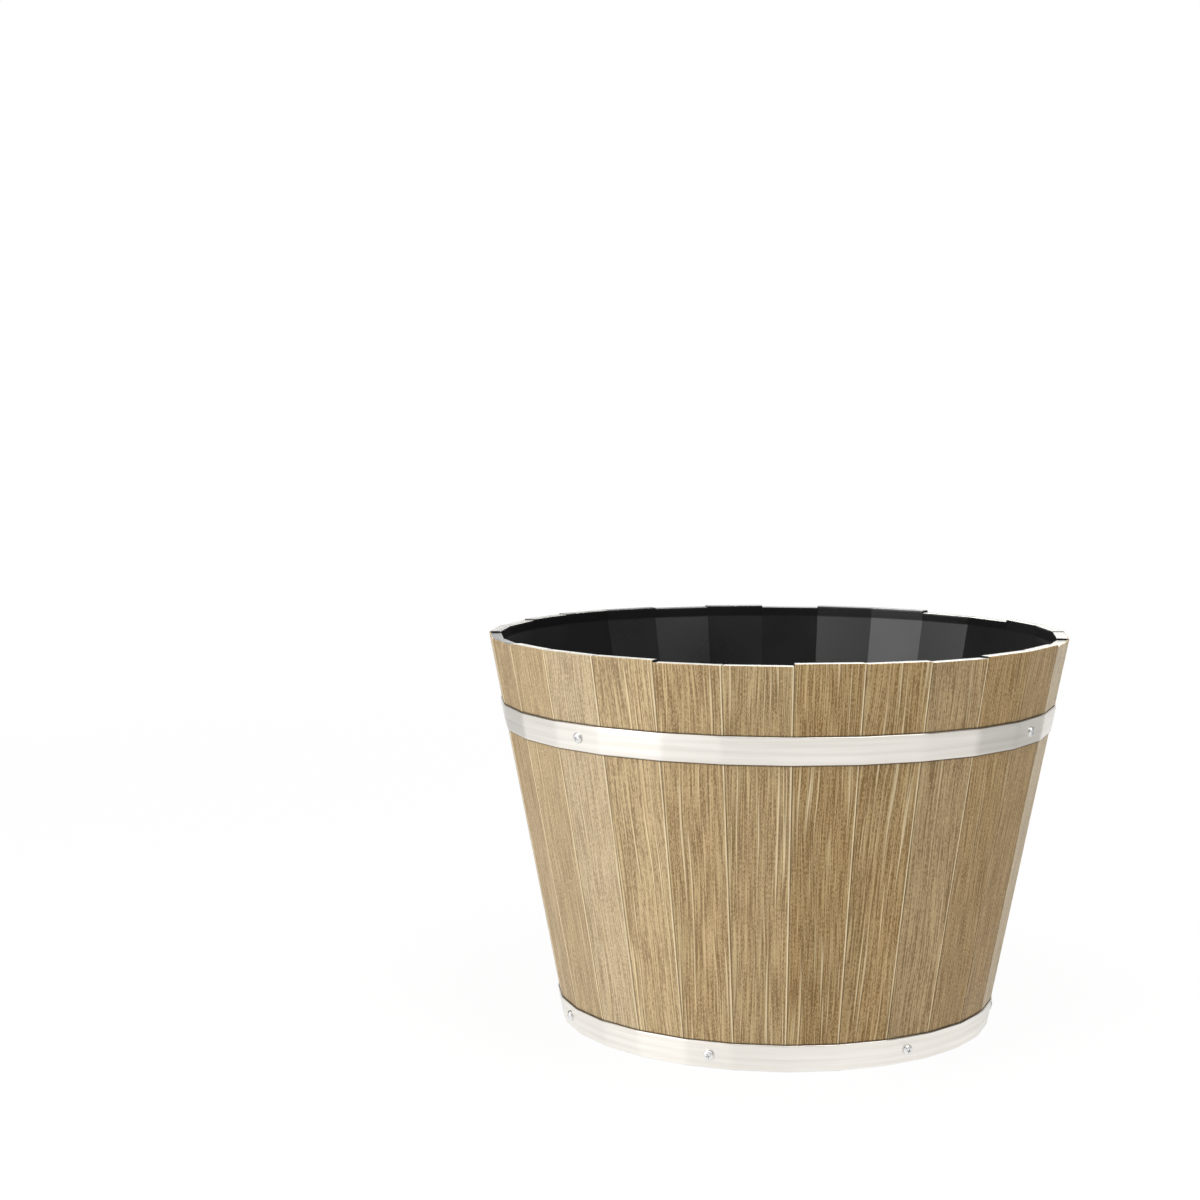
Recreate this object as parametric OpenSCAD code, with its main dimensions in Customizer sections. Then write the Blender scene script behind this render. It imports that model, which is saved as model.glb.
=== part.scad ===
// Round planter moulded in resin to look like the lower half of a coopered barrel.
// Flat staves lean outwards from the foot, two metal hoops are screwed round them, and a rubber
// plug closes the drain hole. The origin is the centre of the foot on the ground, +Z is up,
// and the front is towards -Y. Staves and seams are counted from the front, anticlockwise
// seen from above: stave k lies between seam k and seam k + 1.

/* [Barrel] */
// Outside diameter at the rim, across the stave corners
top_d = 520; // [480:1:600]
// Outside diameter at the foot, across the stave corners
base_d = 384; // [360:1:420]
// Height of the tallest stave above the ground
height = 350; // [300:1:420]
// Number of staves moulded round the barrel
stave_count = 28; // [24:1:32]
// Width of the groove between two staves
seam_w = 1.6; // [0.8:0.1:2.4]
// Depth of the groove between two staves
seam_depth = 0.8; // [0.4:0.1:1.2]
// Height of one step in the uneven ends of the staves
rim_step = 0.5; // [0.1:0.05:1]

/* [Inside] */
// Thickness of the wall at the rim
rim_wall = 11; // [9:0.5:15]
// Height of the thinner band of wall above the ledge
rim_band = 10; // [5:0.5:30]
// Width of the bevelled ledge under that band
ledge_w = 2; // [1:0.5:4]
// Thickness of the wall where it meets the floor
base_wall = 18.5; // [15:0.5:24]
// Thickness of the floor
floor_t = 14; // [10:0.5:20]
// Height and width of the slope between floor and wall
floor_slope = 8; // [3:0.5:15]
// Width of the ring that the barrel stands on
foot_w = 26; // [18:1:50]
// Depth of the recess inside that ring
foot_recess = 4; // [3:0.5:8]

/* [Hoops] */
// Width of the strip that both hoops are bent from
hoop_w = 24; // [18:0.5:32]
// Thickness of that strip
hoop_t = 1.2; // [0.8:0.1:2]
// Distance from the rim down to the top edge of the upper hoop
upper_hoop_drop = 60; // [40:0.5:110]
// Height of the bottom edge of the lower hoop above the ground
lower_hoop_lift = 0.5; // [0.3:0.1:12]
// Length over which the end of a strip laps over its start
lap_len = 57; // [50:1:60]
// Length of the bend that lifts the end of a strip over its start
lap_bend = 4; // [3:0.5:6]

/* [Screws] */
// Diameter of a screw's shank
shank_d = 4; // [3:0.1:5]
// Length of a screw under its head
shank_len = 12; // [9:0.5:13]
// Diameter of a screw's pan head
head_d = 9.2; // [7:0.1:11]
// Height of a screw's pan head
head_h = 2.6; // [2:0.1:3.6]
// Length of each arm of the cross recess, from tip to tip
cross_len = 4.6; // [3:0.1:5]
// Width of each arm of the cross recess
cross_w = 1; // [0.6:0.1:1.4]
// Depth of the cross recess
cross_depth = 1.5; // [1:0.1:1.8]
// Number of staves from one screw to the next
screw_every = 4; // [3:1:5]
// Distance between the two screws of a lap
lap_pitch = 32; // [26:1:36]

/* [Drain] */
// Diameter of the drain hole
drain_d = 25; // [18:0.5:32]
// Diameter of the plug's flange
flange_d = 38; // [36:0.5:50]
// Thickness of the plug's flange
flange_t = 3; // [2:0.5:5]
// Diameter of the grip on top of the plug
grip_d = 16; // [12:0.5:24]
// Height of the grip above the flange
grip_h = 8; // [5:0.5:12]
// Length of the plug's tip that stands out below the floor
tip_out = 1.5; // [0.5:0.5:2.5]

/* [Clearances] */
// Gap between a hoop and the staves
hoop_gap = 0.15; // [0.1:0.05:0.5]
// Gap between the two layers of a lap
lap_gap = 0.1; // [0.05:0.05:0.3]
// Gap under a screw's head
head_gap = 0.05; // [0.02:0.01:0.1]
// Gap round a shank in the resin
pilot_gap = 0.05; // [0.02:0.01:0.1]
// Gap round a shank in a hoop
hole_gap = 0.3; // [0.2:0.05:0.6]
// Gap under and round the drain plug
plug_gap = 0.3; // [0.2:0.05:0.6]

/* [Hidden] */
$fn = 48;

// How many steps each stave's end lies below the tallest, going round from the front
rim_steps = [0, 1, 3, 0, 0, 4, 1, 0, 0, 4, 4, 0, 0, 3, 0, 2, 0, 0, 1, 3, 2, 4, 3, 0, 0, 0, 4, 4];

// Space by which a cut runs past the surface that it opens
cut_over = 1;
// Share of a shank that is its point, and the diameter of the point's end
point_share = 0.3;
point_d = 0.4;
// Width of the flat that blunts each corner inside the barrel
corner_flat = 1;
// Distance by which the wall runs on into the floor, and the floor into the wall
bury = 2;
// Depth of a pilot hole beyond the point of its screw
pilot_over = 1;

// Angles of the barrel: half a stave, and how far a stave leans out from upright
half_turn = 180 / stave_count;
lean = atan((top_d - base_d) / 2 * cos(half_turn) / height);

// Heights inside the barrel
floor_z = foot_recess + floor_t;
ledge_z = height - rim_band;
panel_z = ledge_z - ledge_w;

// Corner radius of the recess in the foot: the ring round it is measured at the flat of a stave
recess_r = corner_r(0) - foot_w / cos(half_turn);

// Heights of the hoops' edges: the strip is wider than it is tall, because it leans
hoop_rise = hoop_w * cos(lean);
upper_z = height - upper_hoop_drop - hoop_rise;
lower_z = lower_hoop_lift;

// Distances out from a stave: to the outside of one layer of strip, and of two
one_layer = hoop_gap + hoop_t;
two_layers = one_layer + lap_gap + hoop_t;

// First stave with a screw in each hoop, and the seam that each lap is centred on.
// The lap lies on the back, one and a half staves past a screw.
upper_first = screw_every;
lower_first = screw_every / 2;
upper_lap = upper_first + 2 * screw_every + 2;
lower_lap = lower_first + 2 * screw_every + 2;

// Angle of seam k from the front, radius of the barrel at its corners, and at its flats
function turn(k) = k * 360 / stave_count;
function corner_r(z) = (base_d + (top_d - base_d) * z / height) / 2;
function flat_r(z) = corner_r(z) * cos(half_turn);
// Width of a stave at height z
function stave_w(z) = 2 * corner_r(z) * sin(half_turn);
// Direction of seam k from the axis, and direction along the flat of stave k
function seam_dir(k) = [sin(turn(k)), -cos(turn(k))];
function flat_dir(k) = [cos(turn(k + 0.5)), sin(turn(k + 0.5))];
// A plan point raised to height z
function raise(p, z) = [p[0], p[1], z];

// Height of the end of stave k
function stave_end(k) =
    height - rim_step * rim_steps[(k + stave_count) % stave_count % len(rim_steps)];

// Outside of seam k: the edge of the stave before it, the bottom of its groove and the edge
// of the stave after it, each at its own height
function seam_outside(k, before, groove, after) = [
    raise(corner_r(before) * seam_dir(k) - flat_dir(k - 1) * seam_w / 2, before),
    raise((corner_r(groove) - seam_depth) * seam_dir(k), groove),
    raise(corner_r(after) * seam_dir(k) + flat_dir(k) * seam_w / 2, after)
];

// Inside of seam k: the two edges of the narrow flat that blunts the corner there, each with
// its own corner radius and height
function seam_inside(k, r_before, before, r_after, after) = [
    raise(r_before * seam_dir(k) - flat_dir(k - 1) * corner_flat / 2, before),
    raise(r_after * seam_dir(k) + flat_dir(k) * corner_flat / 2, after)
];

// The faces across the wall from one seam to the next, between the points of a ring outside and
// a ring inside
function across(edge, next_edge, inner, next_inner) = [
    [edge, inner, edge + 1],
    [edge + 1, inner, inner + 1],
    [edge + 1, inner + 1, edge + 2],
    [edge + 2, inner + 1, next_inner, next_edge]
];

// Corner radius of the wall's inside: the band at the rim, the panels under the ledge, and the
// slope from the panels to the floor
function band_r(z) = corner_r(z) - rim_wall;
floor_r = corner_r(floor_z) - base_wall;
panel_top_r = band_r(panel_z) - ledge_w;
function panel_r(z) = floor_r + (panel_top_r - floor_r) * (z - floor_z) / (panel_z - floor_z);
slope_z = floor_z + floor_slope;
function slope_r(z) =
    panel_r(slope_z) - (panel_r(slope_z) - floor_r + floor_slope) * (slope_z - z) / floor_slope;

// A closed solid through rings of points
module loft(rings) {
    n = len(rings[0]);
    last = len(rings) - 1;
    points = [for (ring = rings) each ring];
    start = [for (i = [0 : n - 1]) i];
    end = [for (i = [n - 1 : -1 : 0]) last * n + i];
    sides = [
        for (j = [0 : last - 1], i = [0 : n - 1])
            [j * n + i, (j + 1) * n + i, (j + 1) * n + (i + 1) % n, j * n + (i + 1) % n]
    ];
    polyhedron(points = points, faces = concat([start, end], sides));
}

// The wall as one closed tube. Its rings run from the foot up the outside, over the ends of the
// staves and down the inside to the foot again. Where two staves end at different heights, the
// step between them lies in their groove.
module wall() {
    n = stave_count;
    out_n = 3 * n;
    in_n = 2 * n;
    seams = [0 : n - 1];
    low_rings = [
        [band_r(ledge_z), ledge_z],
        [panel_top_r, panel_z],
        [panel_r(slope_z), slope_z],
        [slope_r(floor_z - bury), floor_z - bury],
        [recess_r, foot_recess + bury],
        [recess_r, 0]
    ];
    points = [
        for (k = seams)
            each seam_outside(k, 0, 0, 0),
        for (k = seams)
            let (before = stave_end(k - 1), after = stave_end(k))
                each seam_outside(k, before, max(before, after), after),
        for (k = seams)
            let (before = stave_end(k - 1), after = stave_end(k))
                each seam_inside(k, band_r(before), before, band_r(after), after),
        for (ring = low_rings, k = seams)
            each seam_inside(k, ring[0], ring[1], ring[0], ring[1])
    ];
    end_row = out_n;
    in_row = 2 * out_n;
    last_row = in_row + len(low_rings) * in_n;
    faces = [
        for (i = [0 : out_n - 1])
            [i, end_row + i, end_row + (i + 1) % out_n, (i + 1) % out_n],
        for (k = seams)
            each across(end_row + 3 * k, end_row + 3 * ((k + 1) % n),
                        in_row + 2 * k, in_row + 2 * ((k + 1) % n)),
        for (j = [0 : len(low_rings) - 1], i = [0 : in_n - 1])
            let (row = in_row + j * in_n, below = row + in_n)
                [row + i, below + i, below + (i + 1) % in_n, row + (i + 1) % in_n],
        for (k = seams)
            each [
                for (face = across(3 * k, 3 * ((k + 1) % n),
                                   last_row + 2 * k, last_row + 2 * ((k + 1) % n)))
                    [for (i = [len(face) - 1 : -1 : 0]) face[i]]
            ]
    ];
    polyhedron(points = points, faces = faces);
}

// Puts its children on the middle of stave k at height z, moved sideways and out, with +Z
// pointing straight out of the stave
module on_stave(k, z, side = 0, out = 0)
    rotate([0, 0, turn(k + 0.5)])
        translate([side, -flat_r(z), z])
            rotate([90 + lean, 0, 0])
                translate([0, 0, out])
                    children();

// Puts its children at each screw of a hoop whose bottom edge is at height z: one every few
// staves, and a pair on the lap, where the head lies one layer further out
module at_screws(first, lap, z) {
    mid = z + hoop_rise / 2;
    for (k = [first : screw_every : stave_count - 1])
        on_stave(k, mid, 0, one_layer)
            children();
    to_seam = stave_w(mid) / 2 - lap_pitch / 2;
    on_stave(lap - 1, mid, to_seam, two_layers)
        children();
    on_stave(lap, mid, -to_seam, two_layers)
        children();
}

// A pan-head screw with a cross recess, its head standing on z = 0 and its shank below
module screw()
    translate([0, 0, head_gap])
        difference() {
            union() {
                rotate_extrude()
                    polygon([
                        [0, 0], [head_d / 2, 0], [head_d / 2, head_h * 0.35],
                        [head_d * 0.42, head_h * 0.75], [head_d * 0.26, head_h], [0, head_h]
                    ]);
                translate([0, 0, -shank_len * (1 - point_share)])
                    cylinder(d = shank_d, h = shank_len * (1 - point_share) + head_h / 2);
                translate([0, 0, -shank_len])
                    cylinder(d1 = point_d, d2 = shank_d, h = shank_len * point_share);
            }
            for (a = [0, 90])
                rotate([0, 0, a])
                    translate([-cross_len / 2, -cross_w / 2, head_h - cross_depth])
                        cube([cross_len, cross_w, cross_depth + cut_over]);
        }

// The hole that a screw leaves in the resin, on the same place as screw()
module pilot()
    translate([0, 0, -shank_len - pilot_over])
        cylinder(d = shank_d + 2 * pilot_gap, h = shank_len + pilot_over);

// The moulded barrel: staves, floor and foot in one piece
module barrel_shell()
    color("burlywood")
        difference() {
            union() {
                wall();
                translate([0, 0, foot_recess])
                    cylinder(r = recess_r + bury, h = floor_t);
            }
            cylinder(d = drain_d, h = floor_z + cut_over);
            translate([0, 0, floor_z - flange_t])
                cylinder(d = flange_d + 2 * plug_gap, h = flange_t + cut_over);
            at_screws(upper_first, upper_lap, upper_z)
                pilot();
            at_screws(lower_first, lower_lap, lower_z)
                pilot();
        }

// A point of the strip: u counts staves round the barrel from the front, and out is the
// distance from the flats of the staves
function strip_point(u, z, out) =
    let (
        k = floor(u),
        r = corner_r(z) + out / cos(lean) / cos(half_turn),
        p = r * (seam_dir(k) * (k + 1 - u) + seam_dir(k + 1) * (u - k))
    )
        raise(p, z);

// The four corners of the strip's section at u, when its inside lies a distance out
function strip_section(u, z, out) = [
    strip_point(u, z, out), strip_point(u, z + hoop_rise, out),
    strip_point(u, z + hoop_rise, out + hoop_t), strip_point(u, z, out + hoop_t)
];

// A hoop with its bottom edge at height z. The strip starts half a lap before the lap's seam,
// goes round, rises over its own start and ends half a lap past the seam.
module hoop(lap, z) {
    flat_w = stave_w(z + hoop_rise / 2);
    start = lap - lap_len / 2 / flat_w;
    rise_to = start + stave_count - lap_gap / flat_w;
    rise_from = rise_to - lap_bend / flat_w;
    end = start + stave_count + lap_len / flat_w;
    inner = hoop_gap;
    outer = one_layer + lap_gap;
    loft(concat(
        [strip_section(start, z, inner)],
        [for (u = [ceil(start) : floor(rise_from)]) strip_section(u, z, inner)],
        [strip_section(rise_from, z, inner), strip_section(rise_to, z, outer)],
        [for (u = [ceil(rise_to) : floor(end)]) strip_section(u, z, outer)],
        [strip_section(end, z, outer)]
    ));
}

// A hoop with the holes for its screws
module drilled_hoop(first, lap, z)
    color("silver")
        difference() {
            hoop(lap, z);
            at_screws(first, lap, z)
                translate([0, 0, -two_layers])
                    cylinder(d = shank_d + 2 * hole_gap, h = two_layers + cut_over);
        }

module upper_hoop()
    drilled_hoop(upper_first, upper_lap, upper_z);

module lower_hoop()
    drilled_hoop(lower_first, lower_lap, lower_z);

module upper_hoop_screws()
    color("gainsboro")
        at_screws(upper_first, upper_lap, upper_z)
            screw();

module lower_hoop_screws()
    color("gainsboro")
        at_screws(lower_first, lower_lap, lower_z)
            screw();

// The rubber plug: a stem through the floor, a flange in its seat and a waisted grip on top
module drain_plug() {
    stem_r = drain_d / 2 - plug_gap;
    tip_z = foot_recess - tip_out;
    under_z = floor_z - flange_t + plug_gap;
    top_z = under_z + flange_t;
    color("dimgray")
        rotate_extrude()
            polygon([
                [0, tip_z], [stem_r * 0.86, tip_z], [stem_r, tip_z + tip_out + floor_t * 0.2],
                [stem_r, under_z], [flange_d / 2, under_z], [flange_d / 2, top_z - 1],
                [flange_d / 2 - 1, top_z], [grip_d * 0.36, top_z],
                [grip_d * 0.36, top_z + grip_h * 0.4], [grip_d / 2, top_z + grip_h * 0.65],
                [grip_d / 2, top_z + grip_h - 1], [grip_d / 2 - 1, top_z + grip_h],
                [0, top_z + grip_h]
            ]);
}

barrel_shell();
upper_hoop();
lower_hoop();
upper_hoop_screws();
lower_hoop_screws();
drain_plug();
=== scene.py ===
"""A round resin planter made to look like the lower half of a coopered barrel."""
import math

import bmesh
import bpy
from mathutils import Matrix, Vector


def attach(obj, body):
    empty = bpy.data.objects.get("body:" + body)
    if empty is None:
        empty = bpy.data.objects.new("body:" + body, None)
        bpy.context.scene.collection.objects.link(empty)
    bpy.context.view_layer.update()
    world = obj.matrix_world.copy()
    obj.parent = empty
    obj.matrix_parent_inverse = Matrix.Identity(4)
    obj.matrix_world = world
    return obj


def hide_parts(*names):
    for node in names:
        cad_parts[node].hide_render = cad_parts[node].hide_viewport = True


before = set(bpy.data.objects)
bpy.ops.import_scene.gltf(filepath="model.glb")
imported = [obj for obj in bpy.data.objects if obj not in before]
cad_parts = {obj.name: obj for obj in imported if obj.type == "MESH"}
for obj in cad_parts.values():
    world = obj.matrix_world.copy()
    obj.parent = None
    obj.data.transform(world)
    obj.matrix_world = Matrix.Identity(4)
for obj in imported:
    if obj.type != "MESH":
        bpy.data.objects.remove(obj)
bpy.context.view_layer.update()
scene = bpy.context.scene
scene.view_settings.view_transform = "Standard"


# Camera. The photograph was taken a little above the rim, about two metres away and slightly to
# the left of the planter, whose front is turned a degree from the lens's own direction. The
# field of view comes from a camera fitted to the rim, both hoops, the foot and the silhouette.
camera_data = bpy.data.cameras.new("camera")
camera_data.sensor_width = 36
camera_data.lens = 67.94
camera = bpy.data.objects.new("camera", camera_data)
camera.location = (-0.1170, -2.0380, 0.5596)
camera.rotation_euler = (math.radians(84.897), 0, math.radians(1.184))
scene.collection.objects.link(camera)
scene.camera = camera


# Studio. A white floor that sweeps up into a white backdrop behind the planter, and a darker
# room behind the camera. A tall soft box stands on the left, a broad one hangs overhead, whose
# light the floor throws back up at the staves, and weak ones stand on the right and behind.
def linear(hex_colour):
    """An sRGB hex colour as the linear RGBA that a shader socket takes."""
    channels = [int(hex_colour[i:i + 2], 16) / 255 for i in (1, 3, 5)]
    return [c / 12.92 if c <= 0.04045 else ((c + 0.055) / 1.055) ** 2.4
            for c in channels] + [1]


def add(tree, kind, inputs=(), **settings):
    """Adds a node, sets its properties, and sets or links its inputs, by place or by name."""
    node = tree.nodes.new(kind)
    for name, value in settings.items():
        setattr(node, name, value)
    for key, value in inputs.items() if isinstance(inputs, dict) else enumerate(inputs):
        if isinstance(value, bpy.types.Node):
            value = next(output for output in value.outputs if output.enabled)
        if isinstance(value, bpy.types.NodeSocket):
            tree.links.new(value, node.inputs[key])
        else:
            node.inputs[key].default_value = value
    return node


def new_material(name):
    """A material whose tree is still empty, and that tree."""
    material = bpy.data.materials.new(name)
    material.use_nodes = True
    material.node_tree.nodes.clear()
    return material, material.node_tree


world = bpy.data.worlds.new("studio")
world.use_nodes = True
tree = world.node_tree
tree.nodes.clear()
white = linear("#ffffff")
direction = add(tree, "ShaderNodeSeparateXYZ", (
    add(tree, "ShaderNodeTexCoord").outputs["Generated"],)).outputs
sweep = add(tree, "ShaderNodeMapRange", (direction["Y"], 0.80, 0.96, 0.14, 1.0),
            interpolation_type="SMOOTHSTEP")
overhead = add(tree, "ShaderNodeMapRange", (direction["Z"], 0.10, 0.40, 1.0, 0.12),
               interpolation_type="SMOOTHSTEP")
around = add(tree, "ShaderNodeBackground", (white, add(
    tree, "ShaderNodeMath", (sweep, overhead), operation="MULTIPLY")))
add(tree, "ShaderNodeOutputWorld", (add(tree, "ShaderNodeMixShader", (
    add(tree, "ShaderNodeLightPath").outputs["Is Camera Ray"], around,
    add(tree, "ShaderNodeBackground", (white, 1.0)))),))
scene.world = world

# Painted studio floor: matt white. The lens sees nearly the backdrop's own white near the
# planter, with a trace of its shadow, and exactly that white further away, so no horizon shows.
# Metal sees patches of painted shade in it, greyer ones on the right and behind it on the left,
# and faint ones in front on both sides.
floor_paint, tree = new_material("matt white floor paint")
where = add(tree, "ShaderNodeTexCoord").outputs["Object"]
far = add(tree, "ShaderNodeVectorMath", (where,), operation="LENGTH")
# A patch is an oval twice as wide as it is deep. With X halved it is a circle, given by its
# middle, the level inside it, and the two radii between which it fades into the white.
x_halved = (0.5, 1, 1)
squeezed = add(tree, "ShaderNodeVectorMath", (where, x_halved), operation="MULTIPLY")
painted_shade = 1.0
for middle, dimmest, inner, outer in (
        ((0.60, 0.30, 0), 0.40, 0.30, 0.66), ((-0.50, 0.95, 0), 0.50, 0.30, 0.48),
        ((0.45, -0.52, 0), 0.82, 0.28, 0.42), ((-0.28, -0.39, 0), 0.62, 0.10, 0.24)):
    to_middle = add(tree, "ShaderNodeVectorMath", (squeezed, middle), operation="DISTANCE")
    painted_shade = add(tree, "ShaderNodeMath", (painted_shade, add(
        tree, "ShaderNodeMapRange", (to_middle, inner, outer, dimmest, 1.0))),
        operation="MULTIPLY")
# Reflections see this emission, dimmed in the patches as painted shade
mirrored = add(tree, "ShaderNodeEmission", (white, painted_shade))
rays = add(tree, "ShaderNodeLightPath").outputs
seen = add(tree, "ShaderNodeMath", (rays["Is Camera Ray"], add(
    tree, "ShaderNodeMapRange", (far.outputs["Value"], 0.4, 2.5, 0.94, 1.0)).outputs[0]),
    operation="MULTIPLY")
in_mirror = add(tree, "ShaderNodeMath", (add(tree, "ShaderNodeMath", (
    rays["Is Glossy Ray"], rays["Is Transmission Ray"]), operation="MAXIMUM"), add(
        tree, "ShaderNodeMapRange", (far.outputs["Value"], 0.25, 0.50, 1.0, 0.83))),
    operation="MULTIPLY")
matt = add(tree, "ShaderNodeMixShader", (
    in_mirror, add(tree, "ShaderNodeBsdfDiffuse", (linear("#f6f6f6"),)), mirrored))
add(tree, "ShaderNodeOutputMaterial", (add(tree, "ShaderNodeMixShader", (
    seen, matt, add(tree, "ShaderNodeEmission", (white,)))),))

floor_half = 15
floor_mesh = bpy.data.meshes.new("floor")
floor_mesh.from_pydata([(-floor_half, -floor_half, 0), (floor_half, -floor_half, 0),
                        (floor_half, floor_half, 0), (-floor_half, floor_half, 0)],
                       [], [(0, 1, 2, 3)])
floor_mesh.materials.append(floor_paint)
floor = bpy.data.objects.new("floor", floor_mesh)
scene.collection.objects.link(floor)

AIM = Vector((0, 0, 0.2))


def soft_box(name, azimuth, elevation, distance, size, watts):
    """A square soft box aimed at the planter; azimuth counts from the front towards +X."""
    lamp = bpy.data.lights.new(name, "AREA")
    lamp.shape, lamp.size, lamp.energy = "SQUARE", size, watts
    box = bpy.data.objects.new(name, lamp)
    turn, rise = math.radians(azimuth), math.radians(elevation)
    away = Vector((math.sin(turn) * math.cos(rise), -math.cos(turn) * math.cos(rise),
                   math.sin(rise)))
    box.location = away * distance + AIM
    box.rotation_euler = away.to_track_quat("Z", "Y").to_euler()
    scene.collection.objects.link(box)


soft_box("tall soft box", -62, 20, 2.5, 2.0, 42)
soft_box("overhead soft box", 0, 78, 2.6, 1.8, 51)
soft_box("side soft box", 48, 45, 2.5, 1.6, 25)
soft_box("back soft box", 160, 35, 2.5, 1.6, 20)


# Barrel. One hollow moulding in foamed black resin: 28 flat staves that lean outwards and end in
# steps at the rim, an upright band inside it, and a foot ring. Outside, the mould's wood grain is
# painted brown and dry-brushed with cream, which catches the raised grain.
STAVES = 28
STEP = 2 * math.pi / STAVES
HALF = STEP / 2
RIM_R, FOOT_R, HEIGHT = 0.260, 0.192, 0.350
TAPER = (RIM_R - FOOT_R) / HEIGHT
LEAN = math.atan(TAPER * math.cos(HALF))
# The hoops' width along the staves and in height, and the heights of their bottom edges. The
# upper one lies 60 mm below the rim, and the lower one just clears the ground.
HOOP_W = 0.024
HOOP_RISE = HOOP_W * math.cos(LEAN)
UPPER_Z, LOWER_Z = HEIGHT - 0.060 - HOOP_RISE, 0.0005
# How many steps of END_DROP each stave's end lies below the tallest, from the front round; how
# much paler each stave is than the least pale, partly cream the brush left and partly a painted
# sheen, strongest on the staves at the far left and right; how strong its lines are; and how
# pale its end is, partly cream and, towards the front, partly a painted reflection; in tenths
END_DROP = 0.0005
END_STEPS = [0, 1, 3, 0, 0, 4, 1, 0, 0, 4, 4, 0, 0, 3, 0, 2, 0, 0, 1, 3, 2, 4, 3, 0, 0, 0, 4, 4]
PALENESS_AND_SHEEN = [0, 0, 1, 0, 0, 6, 1, 0, 2, 0, 4, 1, 0, 3, 0, 1, 0, 2, 0, 1, 0, 6, 1, 2, 4, 2, 1, 1]
CREAM_LINES = [10, 9, 6, 4, 3, 8, 7, 9, 6, 8, 5, 9, 7, 8, 10, 6, 9, 7, 8, 10, 6, 5, 6, 7, 8, 10, 10,
               10]
RIM_CREAM_AND_REFLECTION = [10, 9, 10, 10, 9, 10, 9, 8, 7, 6, 5, 1, 0, 0, 1, 0, 0, 3, 5, 5, 4, 0, 1, 8, 9, 9, 10,
             10]
# Points of a mesh that lie closer than this are made one
WELD = 0.00001


def helper(name, points, **attributes):
    """A mesh of loose points with values on them, which a tree reads by index."""
    mesh = bpy.data.meshes.new(name)
    mesh.from_pydata(points, [], [])
    for key, values in attributes.items():
        mesh.attributes.new(key, "FLOAT", "POINT").data.foreach_set("value", values)
    made = bpy.data.objects.new(name, mesh)
    scene.collection.objects.link(made)
    return made


def new_tree(name, inputs):
    """A Geometry Nodes tree with named inputs, and the sockets that give them."""
    tree = bpy.data.node_groups.new(name, "GeometryNodeTree")
    tree.interface.new_socket("Geometry", in_out="OUTPUT", socket_type="NodeSocketGeometry")
    for label, kind in inputs.items():
        tree.interface.new_socket(label, in_out="INPUT", socket_type="NodeSocket" + kind)
    return tree, add(tree, "NodeGroupInput").outputs


def grow(name, tree, values):
    """Runs a tree with the given input values and keeps the result as a plain mesh."""
    grown = bpy.data.objects.new(name, bpy.data.meshes.new(name))
    scene.collection.objects.link(grown)
    modifier = grown.modifiers.new("tree", "NODES")
    modifier.node_group = tree
    for item in tree.interface.items_tree:
        if item.in_out == "INPUT":
            modifier[item.identifier] = values[item.name]
    graph = bpy.context.evaluated_depsgraph_get()
    mesh = bpy.data.meshes.new_from_object(grown.evaluated_get(graph), depsgraph=graph,
                                           preserve_all_data_layers=True)
    grown.modifiers.clear()
    grown.data = mesh
    mesh.name = name
    return grown


def sampled(tree, shape, at, attribute=None):
    """The place, or a named value, of one point of a helper."""
    value = (add(tree, "GeometryNodeInputNamedAttribute", (attribute,), data_type="FLOAT")
             if attribute else add(tree, "GeometryNodeInputPosition"))
    return add(tree, "GeometryNodeSampleIndex", {"Geometry": shape, "Value": value, "Index": at},
               data_type="FLOAT" if attribute else "FLOAT_VECTOR")


def shaded(tree, shape):
    """Shades a shape smooth, apart from its sharp edges."""
    shape = add(tree, "GeometryNodeSetShadeSmooth", (shape,), domain="FACE")
    is_soft = add(tree, "ShaderNodeMath", (add(
        tree, "GeometryNodeInputMeshEdgeAngle").outputs[0], math.radians(35)),
        operation="LESS_THAN")
    return add(tree, "GeometryNodeSetShadeSmooth", {
        "Geometry": shape, "Shade Smooth": is_soft}, domain="EDGE")


def corner_r(z):
    """Radius of the barrel's outside at its corners, at height z."""
    return FOOT_R + TAPER * z


# The wall's outline, from the foot up the outside, over the rim, down the inside, across the
# floor, through the drain hole and back to the foot underneath. Each point gives its radius and
# height, whether it is flat-sided (1) or round (0), and how far it follows the stave's end. Its
# sizes are the wall at the rim and at the floor, the bottom of the upright band, the top of the
# floor and the slope at its edge, the foot ring's width, the recess inside that ring, and the
# height from which a stave follows its own end.
rim_wall, base_wall, band_z, floor_z, slope = 0.011, 0.0185, 0.340, 0.018, 0.008
foot_w, recess_z, end_z = 0.026, 0.004, 0.320
foot_r = corner_r(0) - foot_w / math.cos(HALF)
floor_r = corner_r(floor_z) - base_wall
# The floor is flat-sided at its edge, less so at the first of these radii, and round from the
# second inwards
sided_r, round_r = 0.120, 0.060
seat_r, seat_depth, drain_r = 0.0193, 0.003, 0.0125
outside_rows = [0.0008] + [0.006 + i * 0.0096 for i in range(35)] + [0.340, 0.345, 0.3485]
outline = [(corner_r(0) - 0.0008, 0.0, 1, 0)]
outline += [(corner_r(z), z, 1, max(0, (z - end_z) / (HEIGHT - end_z))) for z in outside_rows]
outline += [(corner_r(HEIGHT) - 0.0004, HEIGHT - 0.0003, 1, 1)]
painted_rows = len(outline)
inner_r = corner_r(HEIGHT) - rim_wall
outline += [(corner_r(HEIGHT) - 0.0012, HEIGHT, 1, 1), (inner_r + 0.001, HEIGHT, 1, 1)]
brushed_rows = len(outline)
outline += [(inner_r + 0.0002, HEIGHT - 0.0003, 1, 1),
            (inner_r, HEIGHT - 0.001, 1, 1), (inner_r, HEIGHT - 0.002, 1, 1),
            (inner_r, band_z + 0.001, 1, 0), (inner_r, band_z + 0.0002, 1, 0)]
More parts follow.
